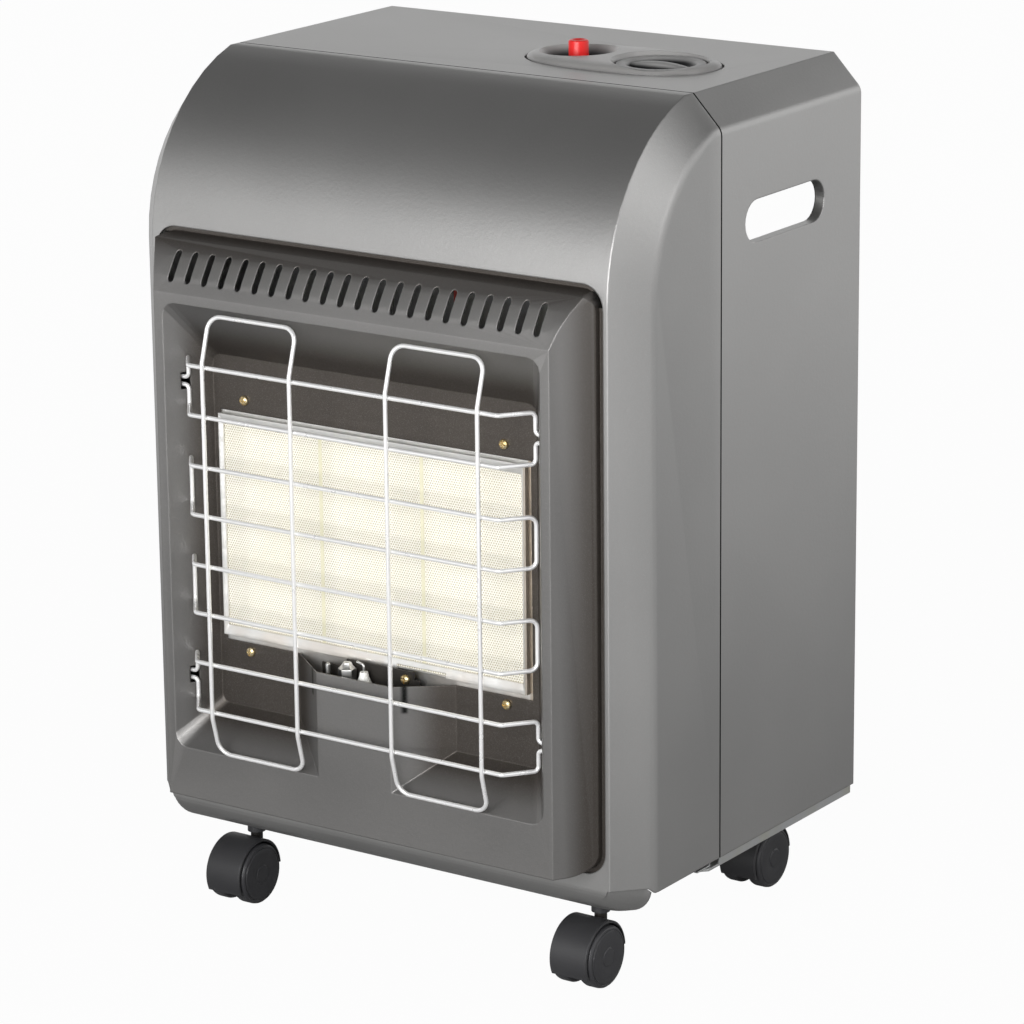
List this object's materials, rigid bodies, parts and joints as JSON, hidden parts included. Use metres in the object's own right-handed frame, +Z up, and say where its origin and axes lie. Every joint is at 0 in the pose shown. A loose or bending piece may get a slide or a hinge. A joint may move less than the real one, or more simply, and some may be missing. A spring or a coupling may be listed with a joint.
{
  "type": "portable gas cabinet heater",
  "caption": "Upright metal cabinet heater on castors: glowing ceramic burner behind a wire guard, gas controls on top, bay for a gas bottle behind.",
  "frame": {"origin": "on the floor, under the middle of the heater's overall width and depth", "axes": "+X to the heater's own right seen from the front, -Y is the side with the burner, +Z up"},
  "size_m": [0.38, 0.2986, 0.562],
  "materials": {
    "cabinet_paint": "fine dark grey metallic powder coat, satin",
    "surround_paint": "fine dark grey metallic powder coat, satin",
    "zinc_steel": "bright zinc plate",
    "stainless_steel": "bright rolled stainless sheet",
    "guard_wire": "bright nickel and chrome plate",
    "plaque_ceramic": "matt cream, finely perforated",
    "white_ceramic": "glazed white",
    "brass": "turned and yellow passivated",
    "grey_plastic": "satin grey moulding",
    "black_plastic": "satin black moulding",
    "red_plastic": "glossy red moulding",
    "blackened_steel": "thin black heat-proof paint, satin",
    "silicone_sleeve": "red silicone insulation"
  },
  "bodies": {
    "cabinet": {"cabinet_shell": "cabinet_paint", "front_panel": "cabinet_paint", "base_pan": "zinc_steel", "heat_shield": "zinc_steel", "rear_rail": "zinc_steel", "heater_surround": "surround_paint", "wire_guard": "guard_wire", "burner_frame": "stainless_steel", "burner_housing": "zinc_steel", "ceramic_plaque_left": "plaque_ceramic", "ceramic_plaque_centre": "plaque_ceramic", "ceramic_plaque_right": "plaque_ceramic", "injector_left": "brass", "injector_centre": "brass", "injector_right": "brass", "gas_manifold": "zinc_steel", "burner_pipe": "zinc_steel", "burner_screw_upper_left": "brass", "burner_screw_upper_right": "brass", "burner_screw_lower_left": "brass", "burner_screw_lower_right": "brass", "pilot_bracket": "blackened_steel", "pilot_screw": "brass", "pilot_burner": "stainless_steel", "pilot_pipe": "zinc_steel", "thermocouple": "zinc_steel", "electrode_insulator": "white_ceramic", "spark_electrode": "stainless_steel", "ignition_lead": "silicone_sleeve", "control_bezel": "grey_plastic", "gas_valve": "brass", "valve_bracket": "zinc_steel", "inlet_hose_tail": "brass", "igniter_body": "black_plastic", "castor_front_left_stem": "zinc_steel", "castor_front_right_stem": "zinc_steel", "castor_rear_left_stem": "zinc_steel", "castor_rear_right_stem": "zinc_steel"},
    "valve_plug": {"valve_plug": "brass"},
    "control_knob": {"control_knob": "grey_plastic", "valve_spindle": "brass"},
    "igniter_button": {"igniter_button": "red_plastic"},
    "rear_cover": {"rear_cover": "cabinet_paint"},
    "castor_front_left": {"castor_front_left_hood": "black_plastic", "castor_front_left_axle": "zinc_steel"},
    "castor_front_left_wheel_left": {"castor_front_left_wheel_left": "black_plastic"},
    "castor_front_left_wheel_right": {"castor_front_left_wheel_right": "black_plastic"},
    "castor_front_right": {"castor_front_right_hood": "black_plastic", "castor_front_right_axle": "zinc_steel"},
    "castor_front_right_wheel_left": {"castor_front_right_wheel_left": "black_plastic"},
    "castor_front_right_wheel_right": {"castor_front_right_wheel_right": "black_plastic"},
    "castor_rear_left": {"castor_rear_left_hood": "black_plastic", "castor_rear_left_axle": "zinc_steel"},
    "castor_rear_left_wheel_left": {"castor_rear_left_wheel_left": "black_plastic"},
    "castor_rear_left_wheel_right": {"castor_rear_left_wheel_right": "black_plastic"},
    "castor_rear_right": {"castor_rear_right_hood": "black_plastic", "castor_rear_right_axle": "zinc_steel"},
    "castor_rear_right_wheel_left": {"castor_rear_right_wheel_left": "black_plastic"},
    "castor_rear_right_wheel_right": {"castor_rear_right_wheel_right": "black_plastic"}
  },
  "joints": [
    {"name": "valve_turn", "type": "hinge", "parent": "cabinet", "child": "valve_plug", "pos_m": [0.105, 0.05115, 0.5], "axis": [0, 0, 1], "range_deg": [0, 240]},
    {"name": "knob_push", "type": "slide", "parent": "valve_plug", "child": "control_knob", "axis": [0, 0, -1], "range_m": [0, 0.004], "stiffness_N_per_m": 1500, "springref_m": -0.004},
    {"name": "igniter_push", "type": "slide", "parent": "cabinet", "child": "igniter_button", "axis": [0, 0, -1], "range_m": [0, 0.006], "stiffness_N_per_m": 1200, "springref_m": -0.005},
    {"name": "rear_cover_lift", "type": "slide", "parent": "cabinet", "child": "rear_cover", "axis": [0, 0, 1], "range_m": [0, 0.012]},
    {"name": "castor_front_left_swivel", "type": "hinge", "parent": "cabinet", "child": "castor_front_left", "pos_m": [-0.1345, -0.06585, 0.05], "axis": [0, 0, 1], "continuous": true},
    {"name": "castor_front_left_roll_left", "type": "hinge", "parent": "castor_front_left", "child": "castor_front_left_wheel_left", "pos_m": [-0.1345, -0.08085, 0.02], "axis": [1, 0, 0], "continuous": true},
    {"name": "castor_front_left_roll_right", "type": "hinge", "parent": "castor_front_left", "child": "castor_front_left_wheel_right", "pos_m": [-0.1345, -0.08085, 0.02], "axis": [1, 0, 0], "continuous": true},
    {"name": "castor_front_right_swivel", "type": "hinge", "parent": "cabinet", "child": "castor_front_right", "pos_m": [0.1345, -0.06585, 0.05], "axis": [0, 0, 1], "continuous": true},
    {"name": "castor_front_right_roll_left", "type": "hinge", "parent": "castor_front_right", "child": "castor_front_right_wheel_left", "pos_m": [0.1345, -0.08085, 0.02], "axis": [1, 0, 0], "continuous": true},
    {"name": "castor_front_right_roll_right", "type": "hinge", "parent": "castor_front_right", "child": "castor_front_right_wheel_right", "pos_m": [0.1345, -0.08085, 0.02], "axis": [1, 0, 0], "continuous": true},
    {"name": "castor_rear_left_swivel", "type": "hinge", "parent": "cabinet", "child": "castor_rear_left", "pos_m": [-0.13, 0.14015, 0.05], "axis": [0, 0, 1], "continuous": true},
    {"name": "castor_rear_left_roll_left", "type": "hinge", "parent": "castor_rear_left", "child": "castor_rear_left_wheel_left", "pos_m": [-0.13, 0.12515, 0.02], "axis": [1, 0, 0], "continuous": true},
    {"name": "castor_rear_left_roll_right", "type": "hinge", "parent": "castor_rear_left", "child": "castor_rear_left_wheel_right", "pos_m": [-0.13, 0.12515, 0.02], "axis": [1, 0, 0], "continuous": true},
    {"name": "castor_rear_right_swivel", "type": "hinge", "parent": "cabinet", "child": "castor_rear_right", "pos_m": [0.13, 0.14015, 0.05], "axis": [0, 0, 1], "continuous": true},
    {"name": "castor_rear_right_roll_left", "type": "hinge", "parent": "castor_rear_right", "child": "castor_rear_right_wheel_left", "pos_m": [0.13, 0.12515, 0.02], "axis": [1, 0, 0], "continuous": true},
    {"name": "castor_rear_right_roll_right", "type": "hinge", "parent": "castor_rear_right", "child": "castor_rear_right_wheel_right", "pos_m": [0.13, 0.12515, 0.02], "axis": [1, 0, 0], "continuous": true}
  ]
}
